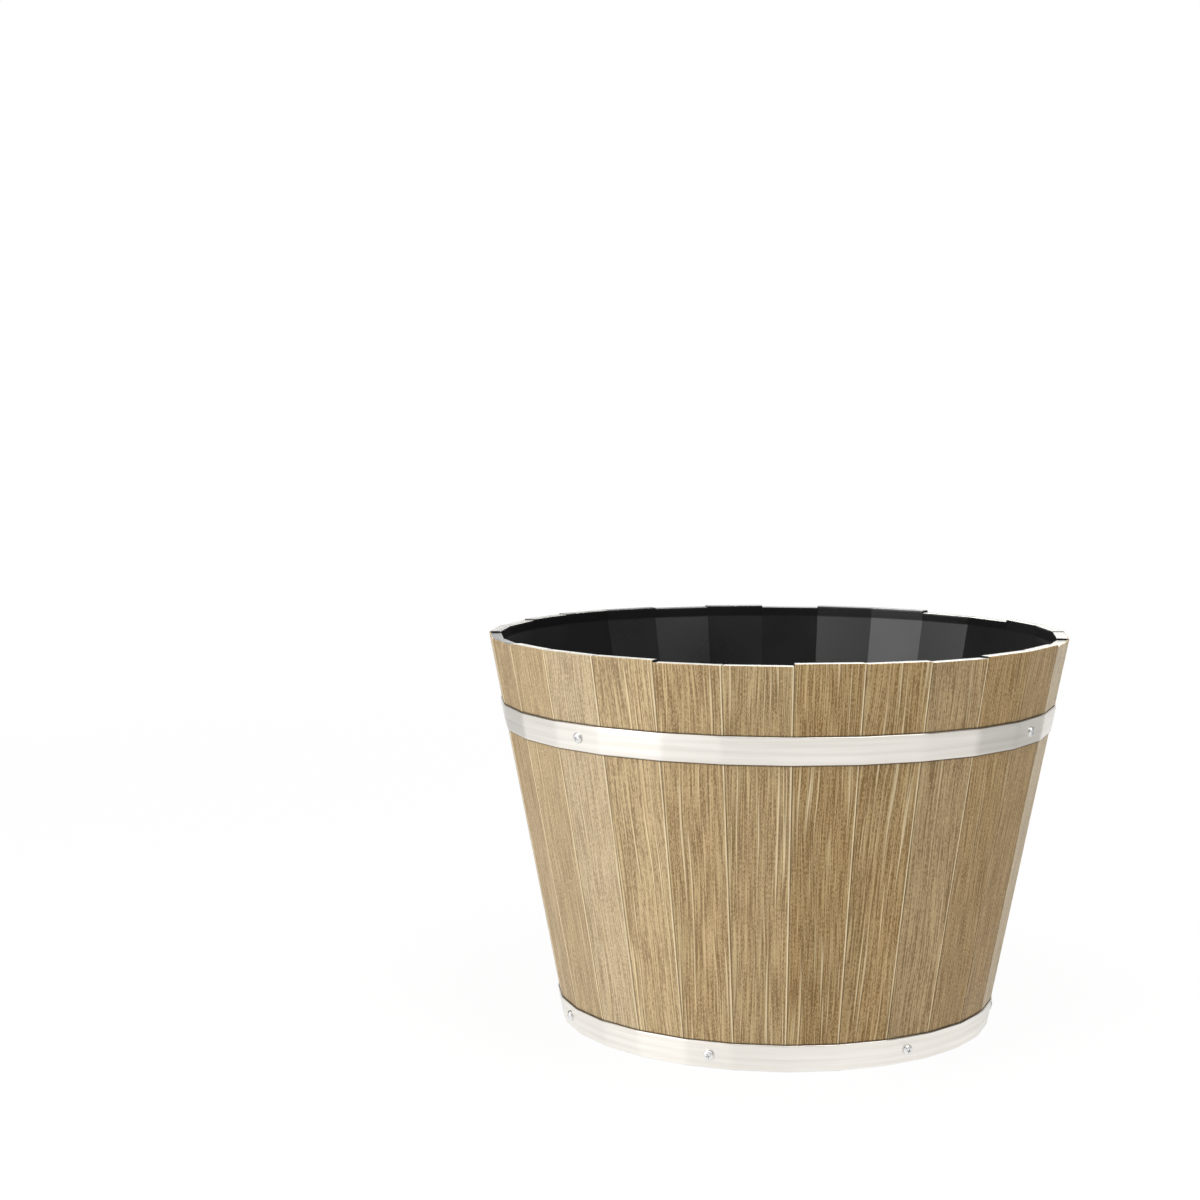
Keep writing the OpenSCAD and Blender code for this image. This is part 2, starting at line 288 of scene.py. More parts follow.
for z in (band_z - 0.0004, band_z - 0.0012, 0.30, 0.25, 0.20, 0.15, 0.10, 0.06, floor_z + slope):
    outline.append((floor_r + (inner_r - floor_r) * (z - floor_z) / (band_z - floor_z), z, 1, 0))
outline += [(floor_r - slope * 0.45, floor_z + slope * 0.45, 1, 0),
            (floor_r - slope, floor_z, 1, 0), (sided_r, floor_z, 0.7, 0),
            (round_r, floor_z, 0, 0), (seat_r + 0.0006, floor_z, 0, 0),
            (seat_r, floor_z - 0.0006, 0, 0), (seat_r, floor_z - seat_depth, 0, 0),
            (drain_r, floor_z - seat_depth, 0, 0), (drain_r, recess_z + 0.0005, 0, 0),
            (drain_r + 0.0005, recess_z, 0, 0), (round_r, recess_z, 0, 0),
            (sided_r, recess_z, 0.7, 0), (foot_r, recess_z, 1, 0), (foot_r, 0.0006, 1, 0),
            (foot_r + 0.0006, 0.0, 1, 0), outline[0]]
outline_points = helper(
    "outline", [(r, flat, z) for r, z, flat, end in outline],
    painted=[float(i < painted_rows) for i in range(len(outline))],
    brushed=[float(painted_rows <= i < brushed_rows) for i in range(len(outline))],
    grooved=[float(i <= painted_rows) for i in range(len(outline))],
    end=[float(row[3]) for row in outline])

# Columns of points across a stave, as shares of its width: close together at both seams, where
# the groove and its rounded edges are. The first and last lie in the seams.
edge_columns = [0, 0.005, 0.011, 0.018, 0.03, 0.045]
inner_columns = [0.07 + 0.86 * i / 30 for i in range(31)]
columns = [c - 0.5 for c in edge_columns + inner_columns] + [0.5 - c for c in edge_columns[::-1]]
column_points = helper("columns", [(c, 0, 0) for c in columns],
                       side=[-1.0] + [0.0] * (len(columns) - 2) + [1.0])
end_points = helper("stave ends", [(0, 0, END_DROP * steps) for steps in END_STEPS],
                    pale=[tenths / 10 for tenths in PALENESS_AND_SHEEN],
                    lines=[tenths / 10 for tenths in CREAM_LINES],
                    rim_cream=[tenths / 10 for tenths in RIM_CREAM_AND_REFLECTION])

tree, given = new_tree("moulded staves", {
    "Staves": "Int", "Outline": "Object", "Columns": "Object", "Stave ends": "Object",
    "Seam width": "Float", "Seam depth": "Float", "Grain depth": "Float",
    "Paint": "Material", "Rim paint": "Material", "Resin": "Material"})
step = add(tree, "ShaderNodeMath", (2 * math.pi, given["Staves"]), operation="DIVIDE")
half = add(tree, "ShaderNodeMath", (step, 0.5), operation="MULTIPLY")
outline_shape, columns_shape, ends_shape = (
    add(tree, "GeometryNodeObjectInfo", (given[label],)).outputs["Geometry"]
    for label in ("Outline", "Columns", "Stave ends"))
rows_n = add(tree, "GeometryNodeAttributeDomainSize", (outline_shape,)).outputs["Point Count"]
columns_n = add(tree, "GeometryNodeAttributeDomainSize", (columns_shape,)).outputs["Point Count"]
sheet = add(tree, "GeometryNodeMeshGrid", {"Vertices X": columns_n, "Vertices Y": rows_n})
index = add(tree, "GeometryNodeInputIndex")
column = add(tree, "ShaderNodeMath", (
    add(tree, "ShaderNodeMath", (index, rows_n), operation="DIVIDE"),), operation="FLOOR")
row = add(tree, "ShaderNodeMath", (index, rows_n), operation="MODULO")

# One stave is a grid bent to the outline: r and z along it, its share of the width across it
share = add(tree, "ShaderNodeSeparateXYZ", (sampled(tree, columns_shape, column),)).outputs["X"]
profile = add(tree, "ShaderNodeSeparateXYZ", (sampled(tree, outline_shape, row),)).outputs
r, is_flat, z = profile["X"], profile["Y"], profile["Z"]
width = add(tree, "ShaderNodeMath", (add(tree, "ShaderNodeMath", (r, 2), operation="MULTIPLY"),
                                     add(tree, "ShaderNodeMath", (half,), operation="SINE")),
            operation="MULTIPLY")
across = add(tree, "ShaderNodeMath", (width, share), operation="MULTIPLY")
from_middle = add(tree, "ShaderNodeMath", (across,), operation="ABSOLUTE")
from_seam = add(tree, "ShaderNodeMath", (add(
    tree, "ShaderNodeMath", (width, 0.5), operation="MULTIPLY"), from_middle),
    operation="SUBTRACT")
# Each seam is a groove with rounded edges, which reaches 0.6 of its width to either side
is_grooved = sampled(tree, outline_shape, row, "grooved")
groove = add(tree, "ShaderNodeMath", (is_grooved, add(tree, "ShaderNodeMapRange", (
    from_seam, 0.0, add(tree, "ShaderNodeMath", (given["Seam width"], 0.6),
                        operation="MULTIPLY"), given["Seam depth"], 0.0),
    interpolation_type="SMOOTHSTEP")), operation="MULTIPLY")
reach = add(tree, "ShaderNodeMath", (
    r, add(tree, "ShaderNodeMath", (half,), operation="COSINE")), operation="MULTIPLY")
flat = add(tree, "ShaderNodeCombineXYZ", (
    across, add(tree, "ShaderNodeMath", (groove, reach), operation="SUBTRACT"), z))
swing = add(tree, "ShaderNodeMath", (share, step), operation="MULTIPLY")
curved = add(tree, "ShaderNodeVectorRotate", {
    "Vector": add(tree, "ShaderNodeCombineXYZ", (
        0.0, add(tree, "ShaderNodeMath", (r, -1), operation="MULTIPLY"), z)),
    "Angle": swing}, rotation_type="Z_AXIS")
stave = add(tree, "GeometryNodeSetPosition", {"Geometry": sheet, "Position": add(
    tree, "ShaderNodeMix", {0: is_flat, 4: curved, 5: flat}, data_type="VECTOR")})
# Each face corner keeps its place on the stave: across it, from the seam, and along it
place = add(tree, "GeometryNodeFieldOnDomain", (add(tree, "ShaderNodeCombineXYZ", (
    across, from_seam, add(tree, "ShaderNodeMath", (z, math.cos(LEAN)), operation="DIVIDE"))),),
    data_type="FLOAT_VECTOR", domain="POINT")
for name, value, data_type, domain in (
        ("local", place, "FLOAT_VECTOR", "CORNER"), ("grooved", is_grooved, "FLOAT", "POINT"),
        ("end", sampled(tree, outline_shape, row, "end"), "FLOAT", "POINT"),
        ("side", sampled(tree, columns_shape, column, "side"), "FLOAT", "POINT")):
    stave = add(tree, "GeometryNodeStoreNamedAttribute", {
        "Geometry": stave, "Name": name, "Value": value}, data_type=data_type, domain=domain)
face_row = add(tree, "ShaderNodeMath", (index, add(
    tree, "ShaderNodeMath", (rows_n, 1), operation="SUBTRACT")), operation="MODULO")
stave = add(tree, "GeometryNodeSetMaterial", {"Geometry": stave, "Material": given["Resin"]})
for label, finish in (("painted", "Paint"), ("brushed", "Rim paint")):
    stave = add(tree, "GeometryNodeSetMaterial", {
        "Geometry": stave, "Selection": sampled(tree, outline_shape, face_row, label),
        "Material": given[finish]})

# The ring of staves, each numbered so that its grain and its end are its own
ring = add(tree, "GeometryNodeInstanceOnPoints", {
    "Points": add(tree, "GeometryNodeMeshLine", {
        "Count": given["Staves"], "Offset": (0, 0, 0)}), "Instance": stave,
    "Rotation": add(tree, "ShaderNodeCombineXYZ", {"Z": add(tree, "ShaderNodeMath", (
        index, step, half), operation="MULTIPLY_ADD")})})
ring = add(tree, "GeometryNodeStoreNamedAttribute", {
    "Geometry": ring, "Name": "stave", "Value": index}, data_type="FLOAT", domain="INSTANCE")
ring = add(tree, "GeometryNodeRealizeInstances", (ring,))
number, grooved, end, side = (
    add(tree, "GeometryNodeInputNamedAttribute", (name,), data_type="FLOAT")
    for name in ("stave", "grooved", "end", "side"))
for name in ("stave", "pale", "lines", "rim_cream"):
    ring = add(tree, "GeometryNodeStoreNamedAttribute", {
        "Geometry": ring, "Name": name, "Value": number if name == "stave" else sampled(
            tree, ends_shape, number, name)}, data_type="FLOAT", domain="FACE")
# A stave's end drops to its own height, and in a seam the taller neighbour's end rules
neighbour = add(tree, "ShaderNodeMath", (add(
    tree, "ShaderNodeMath", (number, side), operation="ADD"), given["Staves"]),
    operation="FLOORED_MODULO")
drop = add(tree, "ShaderNodeVectorMath", (
    sampled(tree, ends_shape, number), sampled(tree, ends_shape, neighbour)),
    operation="MINIMUM")
drop = add(tree, "ShaderNodeMath", (add(
    tree, "ShaderNodeSeparateXYZ", (drop,)).outputs["Z"], end), operation="MULTIPLY")
# The mould's grain: long shallow furrows a few millimetres apart, cut inwards, which run out
# beside the seams. Each stave's noise is taken well away from its neighbours'.
furrow_pitch, furrow_len, run_out, noise_apart = 0.0045, 0.11, 0.003, 3.7
on_stave = add(tree, "ShaderNodeSeparateXYZ", (add(
    tree, "GeometryNodeInputNamedAttribute", ("local",), data_type="FLOAT_VECTOR"),)).outputs
furrows = add(tree, "ShaderNodeTexNoise", {"Vector": add(tree, "ShaderNodeVectorMath", (
    add(tree, "ShaderNodeCombineXYZ", (on_stave["X"], on_stave["Z"], number)),
    (1 / furrow_pitch, 1 / furrow_len, noise_apart)), operation="MULTIPLY"), "Scale": 1.0,
    "Detail": 1.0})
depth = add(tree, "ShaderNodeMapRange", (
    on_stave["Y"], 0.0, run_out, 0.0, given["Grain depth"]), interpolation_type="SMOOTHSTEP")
cut = add(tree, "ShaderNodeMath", (add(
    tree, "ShaderNodeMath", (furrows, depth), operation="MULTIPLY"), grooved),
    operation="MULTIPLY")
inwards = add(tree, "ShaderNodeVectorRotate", {"Vector": (0, 1, 0), "Angle": add(
    tree, "ShaderNodeMath", (number, step, half), operation="MULTIPLY_ADD")},
    rotation_type="Z_AXIS")
inwards = add(tree, "ShaderNodeVectorMath", {0: inwards, "Scale": add(
    tree, "ShaderNodeMath", (drop, TAPER, cut), operation="MULTIPLY_ADD")}, operation="SCALE")
down = add(tree, "ShaderNodeCombineXYZ", {"Z": drop})
ring = add(tree, "GeometryNodeSetPosition", {"Geometry": ring, "Offset": add(
    tree, "ShaderNodeVectorMath", (inwards, down), operation="SUBTRACT")})
ring = add(tree, "GeometryNodeMergeByDistance", {"Geometry": ring, "Distance": WELD})
add(tree, "NodeGroupOutput", (shaded(tree, ring),))
staves_tree = tree

# Acrylic paint on moulded resin, satin at most: brown in the furrows, with painted shade beside the
# bolder ridges, cream on the raised grain, a painted sheen on some staves, and worn to cream along
# one edge of each stave
paint, tree = new_material("dry-brushed acrylic paint")
spot = add(tree, "ShaderNodeSeparateXYZ", (add(
    tree, "ShaderNodeAttribute", attribute_name="local").outputs["Vector"],)).outputs
number = add(tree, "ShaderNodeAttribute", attribute_name="stave").outputs["Fac"]


def grain(pitch, length, seed, sideways=None, detail=2.0, roughness=0.5):
    """Noise drawn out along the stave: pitch across the grain, length along it, in metres."""
    here = add(tree, "ShaderNodeCombineXYZ", (sideways or spot["X"], spot["Z"], number))
    here = add(tree, "ShaderNodeVectorMath", (
        here, (1 / pitch, 1 / length, noise_apart), (0, 0, seed)), operation="MULTIPLY_ADD")
    return add(tree, "ShaderNodeTexNoise", {
        "Vector": here, "Scale": 1.0, "Detail": detail, "Roughness": roughness}).outputs[0]


# The grain wanders by a few millimetres and runs a degree or two off each stave's own line
wander = add(tree, "ShaderNodeMath", (grain(0.035, 0.13, 1.0, detail=1.0), 0.008, spot["X"]),
             operation="MULTIPLY_ADD")
own = add(tree, "ShaderNodeTexWhiteNoise", {"W": number}, noise_dimensions="1D")
slant = add(tree, "ShaderNodeMapRange", (own.outputs["Value"], 0.0, 1.0, -0.03, 0.03))
grain_x = add(tree, "ShaderNodeMath", (slant, spot["Z"], wander), operation="MULTIPLY_ADD")
# Fibres a millimetre wide carry the brown and the tan, broken up by fine grit
fibres = grain(0.0010, 0.045, 2.0, grain_x)
grit = grain(0.0009, 0.0025, 4.0, grain_x, 1.0)
fibres = add(tree, "ShaderNodeMath", (grit, 0.7, fibres), operation="MULTIPLY_ADD")
colour = add(tree, "ShaderNodeMix", {0: add(tree, "ShaderNodeMapRange", (fibres, 0.73, 0.97)),
             6: linear("#806338"), 7: linear("#b59868")}, data_type="RGBA")
# Paler staves: partly more cream from the brush, partly a painted sheen where light glances off
pale = add(tree, "ShaderNodeAttribute", attribute_name="pale").outputs["Fac"]
pale = add(tree, "ShaderNodeMath", (add(
    tree, "ShaderNodeMapRange", (fibres, 0.65, 1.05, 0.5, 1.3)), pale), operation="MULTIPLY")
# The dry brush left cream on the crests, in hair lines a few millimetres apart and in bolder ones
# about a centimetre apart. Beside each bolder one lies a furrow, sunk in the bump and painted
# brown as the shade on the ridge's unlit side
lines = add(tree, "ShaderNodeAttribute", attribute_name="lines").outputs["Fac"]
hair_line = add(tree, "ShaderNodeMapRange", (
    grain(0.0012, 0.075, 6.0, grain_x, 1.0), 0.54, 0.72, 0.0,
    add(tree, "ShaderNodeMath", (lines, 0.62), operation="MULTIPLY")))
ridge = grain(0.0023, 0.15, 3.0, grain_x, 1.0)
# The furrow's brown is painted shade on one side of each ridge; it also sinks in the bump
shaded_furrow = grain(0.0023, 0.15, 3.0, add(
    tree, "ShaderNodeMath", (grain_x, 0.0009), operation="SUBTRACT"), 1.0)
shaded_furrow = add(tree, "ShaderNodeMapRange", (shaded_furrow, 0.62, 0.72, 0.0, add(
    tree, "ShaderNodeMath", (lines, 0.5), operation="MULTIPLY")))
ridge = add(tree, "ShaderNodeMapRange", (ridge, 0.63, 0.72, 0.0, add(
    tree, "ShaderNodeMath", (lines, 0.72), operation="MULTIPLY")))
for mask, finish in ((pale, "#e2d4b8"), (hair_line, "#d9c394"), (shaded_furrow, "#6b5030"),
                     (ridge, "#e9d6ac")):
    colour = add(tree, "ShaderNodeMix", {0: mask, 6: colour, 7: linear(finish)},
                 data_type="RGBA")
# Whole staves and broad streaks in them came out lighter or darker
broad = grain(0.018, 0.25, 5.0, grain_x, 1.0)
tone = add(tree, "ShaderNodeTexWhiteNoise", {"W": add(
    tree, "ShaderNodeMath", (number, 11.3), operation="ADD")}, noise_dimensions="1D")
tone = add(tree, "ShaderNodeMath", (
    add(tree, "ShaderNodeMapRange", (broad, 0.3, 0.7, 0.94, 1.06)),
    add(tree, "ShaderNodeMapRange", (tone.outputs["Value"], 0.0, 1.0, 0.96, 1.04))),
    operation="MULTIPLY")
colour = add(tree, "ShaderNodeMix", {0: 1.0, 6: colour, 7: add(
    tree, "ShaderNodeCombineColor", (tone, tone, tone))}, data_type="RGBA",
    blend_type="MULTIPLY")
# The seam: brown at its bottom, with a worn cream line down one stave's edge beside it. A stave
# with few cream lines has a fainter one there, and the barest has a brown edge instead
worn = add(tree, "ShaderNodeMapRange", (grain(0.02, 0.05, 6.0, roughness=0.6), 0.3, 0.6,
                                        0.6, 1.0))
worn = add(tree, "ShaderNodeMath", (worn, add(
    tree, "ShaderNodeMapRange", (lines, 0.3, 0.6, 0.2, 1.0))), operation="MULTIPLY")
one_side = add(tree, "ShaderNodeMapRange", (spot["X"], -0.001, 0.001, 0.10, 1.0))
line = add(tree, "ShaderNodeMath", (
    add(tree, "ShaderNodeMapRange", (spot["Y"], 0.0004, 0.0007)),
    add(tree, "ShaderNodeMapRange", (spot["Y"], 0.0019, 0.0014))), operation="MULTIPLY")
line = add(tree, "ShaderNodeMath", (line, add(
    tree, "ShaderNodeMath", (worn, one_side), operation="MULTIPLY")), operation="MULTIPLY")
colour = add(tree, "ShaderNodeMix", {0: line, 6: colour, 7: linear("#ead9b2")},
             data_type="RGBA")
brown_edge = add(tree, "ShaderNodeMath", (add(
    tree, "ShaderNodeMapRange", (lines, 0.3, 0.4, 0.0030, 0.0)), one_side, 0.0006),
    operation="MULTIPLY_ADD")
colour = add(tree, "ShaderNodeMix", {
    0: add(tree, "ShaderNodeMapRange", (spot["Y"], brown_edge, 0.0002, 0.0, 0.7)), 6: colour,
    7: linear("#5d492c")}, data_type="RGBA")
# Painted shade: the wood is darkened in the corners just above and below each hoop, where the
# hoop's edge shades it
for bottom in (UPPER_Z, LOWER_Z):
    middle = (bottom + HOOP_RISE / 2) / math.cos(LEAN)
    to_hoop = add(tree, "ShaderNodeMath", (add(tree, "ShaderNodeMath", (add(
        tree, "ShaderNodeMath", (spot["Z"], middle), operation="SUBTRACT"),),
        operation="ABSOLUTE"), HOOP_W / 2), operation="SUBTRACT")
    colour = add(tree, "ShaderNodeMix", {
        0: add(tree, "ShaderNodeMapRange", (to_hoop, 0.0004, 0.0017, 0.85, 0.0)), 6: colour,
        7: linear("#3d3120")}, data_type="RGBA")
relief = add(tree, "ShaderNodeMath", (ridge, shaded_furrow), operation="SUBTRACT")
relief = add(tree, "ShaderNodeMath", (relief, 0.5, add(tree, "ShaderNodeMath", (
    hair_line, 0.5, fibres), operation="MULTIPLY_ADD")), operation="MULTIPLY_ADD")
add(tree, "ShaderNodeOutputMaterial", (add(tree, "ShaderNodeBsdfPrincipled", {
    "Base Color": colour, "IOR": 1.5, "Specular IOR Level": 0.3,
    "Roughness": add(tree, "ShaderNodeMapRange", (fibres, 0.70, 1.00, 0.50, 0.40)),
    "Normal": add(tree, "ShaderNodeBump", {
        "Height": relief, "Strength": 0.6, "Distance": 0.0004})}),))

# The rim's end grain: the same cream brushed thinly over the black, so that it breaks up into
# grit, and glossier than the sides. On the staves towards the front the cream is laid on thick as a
# painted reflection of the white backdrop, while those at the back stay nearly black
rim_paint, tree = new_material("cream acrylic brushed over black with painted reflection")
where = add(tree, "ShaderNodeTexCoord").outputs["Object"]
grit = add(tree, "ShaderNodeTexNoise", {"Vector": where, "Scale": 700.0, "Detail": 2.0}).outputs[0]
patches = add(tree, "ShaderNodeTexNoise", {"Vector": where, "Scale": 60.0, "Detail": 2.0})
cream_and_reflection = add(tree, "ShaderNodeMath", (patches, 0.6, grit), operation="MULTIPLY_ADD")
to_seam = add(tree, "ShaderNodeSeparateXYZ", (add(
    tree, "ShaderNodeAttribute", attribute_name="local").outputs["Vector"],)).outputs["Y"]
# Each stave's share of cream, which towards the front is a painted reflection
stave_cream_and_reflection = add(tree, "ShaderNodeAttribute", attribute_name="rim_cream").outputs["Fac"]
cream_and_reflection = add(tree, "ShaderNodeMath", (stave_cream_and_reflection, 0.75, cream_and_reflection), operation="MULTIPLY_ADD")
cream_and_reflection = add(tree, "ShaderNodeMath", (
    add(tree, "ShaderNodeMapRange", (cream_and_reflection, 0.85, 1.35, 0.0, 1.0)),
    add(tree, "ShaderNodeMapRange", (to_seam, 0.0007, 0.0012))), operation="MULTIPLY")
add(tree, "ShaderNodeOutputMaterial", (add(tree, "ShaderNodeBsdfPrincipled", {
    "Base Color": add(tree, "ShaderNodeMix", {
        0: cream_and_reflection, 6: linear("#161616"), 7: linear("#e4e1d6")}, data_type="RGBA"),
    "Roughness": add(tree, "ShaderNodeMapRange", (grit, 0.3, 0.7, 0.12, 0.22)), "IOR": 1.5,
    "Normal": add(tree, "ShaderNodeBump", {
        "Height": grit, "Strength": 0.2, "Distance": 0.0001})}),))

# Black polyethylene as it leaves the mould: smooth, with a low gloss and faint flow marks
resin, tree = new_material("moulded black polyethylene")
where = add(tree, "ShaderNodeTexCoord").outputs["Object"]
flow = add(tree, "ShaderNodeTexNoise", {"Vector": where, "Scale": 14.0, "Detail": 4.0}).outputs[0]
skin = add(tree, "ShaderNodeTexNoise", {"Vector": where, "Scale": 420.0, "Detail": 2.0})
add(tree, "ShaderNodeOutputMaterial", (add(tree, "ShaderNodeBsdfPrincipled", {
    "Base Color": add(tree, "ShaderNodeMix", {
        0: flow, 6: linear("#141414"), 7: linear("#1e1e1e")}, data_type="RGBA"),
    "Roughness": add(tree, "ShaderNodeMapRange", (flow, 0.3, 0.7, 0.26, 0.34)), "IOR": 1.5,
    "Normal": add(tree, "ShaderNodeBump", {
        "Height": skin, "Strength": 0.2, "Distance": 0.0002})}),))

barrel = grow("staved_barrel", staves_tree, {
    "Staves": STAVES, "Outline": outline_points, "Columns": column_points,
    "Stave ends": end_points, "Seam width": 0.0016, "Seam depth": 0.0008,
    "Grain depth": 0.00015, "Paint": paint, "Rim paint": rim_paint, "Resin": resin})
for used in (outline_points, column_points, end_points):
    bpy.data.objects.remove(used)
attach(barrel, "barrel")
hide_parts("barrel_shell")


# Hoops. Two flat strips of aluminium, brushed along their length and bent a little at every
# seam, pulled tight round the staves. Each strip's end laps over its start at the back, where
# two screws close it.
HOOP_T, HOOP_GAP, LAP_GAP = 0.0012, 0.00015, 0.0001
# The seams in the middle of the laps, counted from the front; then the lengths of a lap, of the
# step up onto the strip's own start, and of the rounded bend on either side of a seam
UPPER_LAP, LOWER_LAP = 14, 12
lap_len, lap_bend, bend_len = 0.057, 0.004, 0.005

# The strip's section in millimetres: how far out from its inside, and how far up. Shearing the
# strip rolled its outer edges over.
wide_mm = HOOP_W * 1000
edge = [(1.2, 1.3), (1.17, 0.85), (1.05, 0.48), (0.8, 0.18), (0.4, 0.0), (0.15, 0.0),
        (0.0, 0.15)]
section = ([(out, wide_mm - up) for out, up in edge[::-1]] + [(1.2, 17), (1.2, 12), (1.2, 7)]
           + edge + [(0, 12)])
section.append(section[0])
section_points = helper("section", [(out / 1000, up / wide_mm, 0) for out, up in section])

tree, given = new_tree("bent strip", {
    "Path": "Object", "Section": "Object", "Bottom": "Float", "Rise": "Float",
    "Thickness": "Float", "Metal": "Material"})
path_shape, section_shape = (
    add(tree, "GeometryNodeObjectInfo", (given[label],)).outputs["Geometry"]
    for label in ("Path", "Section"))
path_n, section_n = (
    add(tree, "GeometryNodeAttributeDomainSize", (shape,)).outputs["Point Count"]
    for shape in (path_shape, section_shape))
sheet = add(tree, "GeometryNodeMeshGrid", {"Vertices X": path_n, "Vertices Y": section_n})
index = add(tree, "GeometryNodeInputIndex")
at = add(tree, "ShaderNodeMath", (
    add(tree, "ShaderNodeMath", (index, section_n), operation="DIVIDE"),), operation="FLOOR")
# At its cut ends the section is drawn together, which closes the strip
middle = add(tree, "ShaderNodeCombineXYZ", (add(
    tree, "ShaderNodeMath", (given["Thickness"], 0.5), operation="MULTIPLY"), 0.5, 0.0))
corner = add(tree, "ShaderNodeSeparateXYZ", (add(tree, "ShaderNodeMix", {
    0: sampled(tree, path_shape, at, "closed"),
    4: sampled(tree, section_shape, add(tree, "ShaderNodeMath", (index, section_n),
                                        operation="MODULO")),
    5: middle}, data_type="VECTOR"),)).outputs
height = add(tree, "ShaderNodeMath", (corner["Y"], given["Rise"], given["Bottom"]),
             operation="MULTIPLY_ADD")
out = add(tree, "ShaderNodeMath", (add(tree, "ShaderNodeMath", (
    corner["X"], sampled(tree, path_shape, at, "out")), operation="ADD"), math.cos(LEAN)),
    operation="DIVIDE")
wall = add(tree, "ShaderNodeMath", (height, TAPER, FOOT_R), operation="MULTIPLY_ADD")
reach = add(tree, "ShaderNodeMath", (wall, math.cos(HALF), out), operation="MULTIPLY_ADD")
place = add(tree, "ShaderNodeVectorMath", (
    add(tree, "ShaderNodeVectorMath", {0: sampled(tree, path_shape, at), "Scale": reach},
        operation="SCALE"), add(tree, "ShaderNodeCombineXYZ", {"Z": height})), operation="ADD")
strip = add(tree, "GeometryNodeSetPosition", {"Geometry": sheet, "Position": place})
strip = add(tree, "GeometryNodeStoreNamedAttribute", {
    "Geometry": strip, "Name": "strip", "Value": add(tree, "GeometryNodeFieldOnDomain", (
        add(tree, "ShaderNodeCombineXYZ", (sampled(tree, path_shape, at, "along"), corner["Y"])),
        ), data_type="FLOAT_VECTOR", domain="POINT")}, data_type="FLOAT_VECTOR", domain="CORNER")
strip = add(tree, "GeometryNodeMergeByDistance", {"Geometry": strip, "Distance": WELD})
add(tree, "NodeGroupOutput", (add(tree, "GeometryNodeSetMaterial", {
    "Geometry": shaded(tree, strip), "Material": given["Metal"]}),))
strip_tree = tree

# Brushed aluminium: the belt left hair-fine lines along the strip, drawn here 0.5 mm apart so
# that they show, and broader pale and dull streaks. Light spreads across the lines, up and down.
aluminium, tree = new_material("brushed aluminium")
on_strip = add(tree, "ShaderNodeAttribute", attribute_name="strip").outputs["Vector"]
hairs, streaks, dents = (
    add(tree, "ShaderNodeTexNoise", {"Vector": add(tree, "ShaderNodeVectorMath", (
        on_strip, (1 / length, HOOP_W / pitch, 1)), operation="MULTIPLY"), "Scale": 1.0,
        "Detail": 2.0}).outputs[0]
    for length, pitch in ((0.030, 0.0005), (0.15, 0.004), (0.040, 0.030)))
relief = add(tree, "ShaderNodeBump", {"Height": dents, "Strength": 0.5, "Distance": 0.0004})
relief = add(tree, "ShaderNodeBump", {
    "Height": hairs, "Strength": 0.3, "Distance": 0.00005, "Normal": relief})
add(tree, "ShaderNodeOutputMaterial", (add(tree, "ShaderNodeBsdfPrincipled", {
    "Base Color": add(tree, "ShaderNodeMix", {
        0: add(tree, "ShaderNodeMapRange", (streaks, 0.35, 0.65)), 6: linear("#f0ebe2"),
        7: linear("#faf6ef")}, data_type="RGBA"),
    "Metallic": 1.0, "Anisotropic": 0.75, "Anisotropic Rotation": 0.25,
    "Roughness": add(tree, "ShaderNodeMapRange", (hairs, 0.3, 0.7, 0.32, 0.42)),
    "Tangent": add(tree, "ShaderNodeTangent", direction_type="RADIAL", axis="Z"),
    "Normal": relief}),))


def hoop(name, bottom, lap):
    """Bends one strip round the staves, starting half a lap before the lap's seam."""
    wide = 2 * corner_r(bottom + HOOP_RISE / 2) * math.sin(HALF)
    start = lap - lap_len / 2 / wide
    rise_to = start + STAVES - LAP_GAP / wide
    rise_from = rise_to - lap_bend / wide
    end = start + STAVES + lap_len / wide
    below, above = HOOP_GAP, HOOP_GAP + HOOP_T + LAP_GAP
    # Across each stave the path's points lie close together at the seams
    turns = [stave + part for stave in range(int(start), int(end) + 1)
             for part in (0, 0.03, 0.06, 0.1, 0.5, 0.9, 0.94, 0.97)]
    path = [(start, below, 1.0), (start, below, 0.0)]
    path += [(turn, below, 0.0) for turn in turns if start < turn < rise_from]
    path += [(rise_from, below, 0.0), (rise_to, above, 0.0)]
    path += [(turn, above, 0.0) for turn in turns if rise_to < turn < end]
    path += [(end, above, 0.0), (end, above, 1.0)]
    points = []
    for turn, out, closed in path:
        # A flat of a ring one unit in radius, rounded off where the strip bends at a seam
        sideways = (turn % 1 - 0.5) * 2 * math.tan(HALF)
        into_bend = max(0, bend_len - (0.5 - abs(turn % 1 - 0.5)) * wide)
        ahead = 1 - into_bend ** 2 * math.tan(HALF) ** 2 / bend_len / wide
        way = (math.floor(turn) + 0.5) * STEP
        points.append((math.sin(way) * ahead + math.cos(way) * sideways,
                       math.sin(way) * sideways - math.cos(way) * ahead, 0))
    path_points = helper(name + " path", points, out=[out for turn, out, closed in path],
                         closed=[closed for turn, out, closed in path],
                         along=[turn * wide for turn, out, closed in path])
    made = grow(name + "_strip", strip_tree, {
        "Path": path_points, "Section": section_points, "Bottom": bottom, "Rise": HOOP_RISE,
        "Thickness": HOOP_T, "Metal": aluminium})
    bpy.data.objects.remove(path_points)
    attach(made, "barrel")
    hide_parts(name)


hoop("upper_hoop", UPPER_Z, UPPER_LAP)
hoop("lower_hoop", LOWER_Z, LOWER_LAP)
bpy.data.objects.remove(section_points)


# Screws. Zinc-plated steel screws with pan heads and cross recesses, driven through each hoop
# into every fourth stave, though the upper hoop has none at the very front, and in a pair
# through each lap.
SHANK_D, SHANK_LEN, HEAD_H = 0.004, 0.012, 0.0026
head_gap, point_d, screw_every, lap_pitch = 0.00005, 0.0004, 4, 0.032
one_layer = HOOP_GAP + HOOP_T
two_layers = one_layer + LAP_GAP + HOOP_T


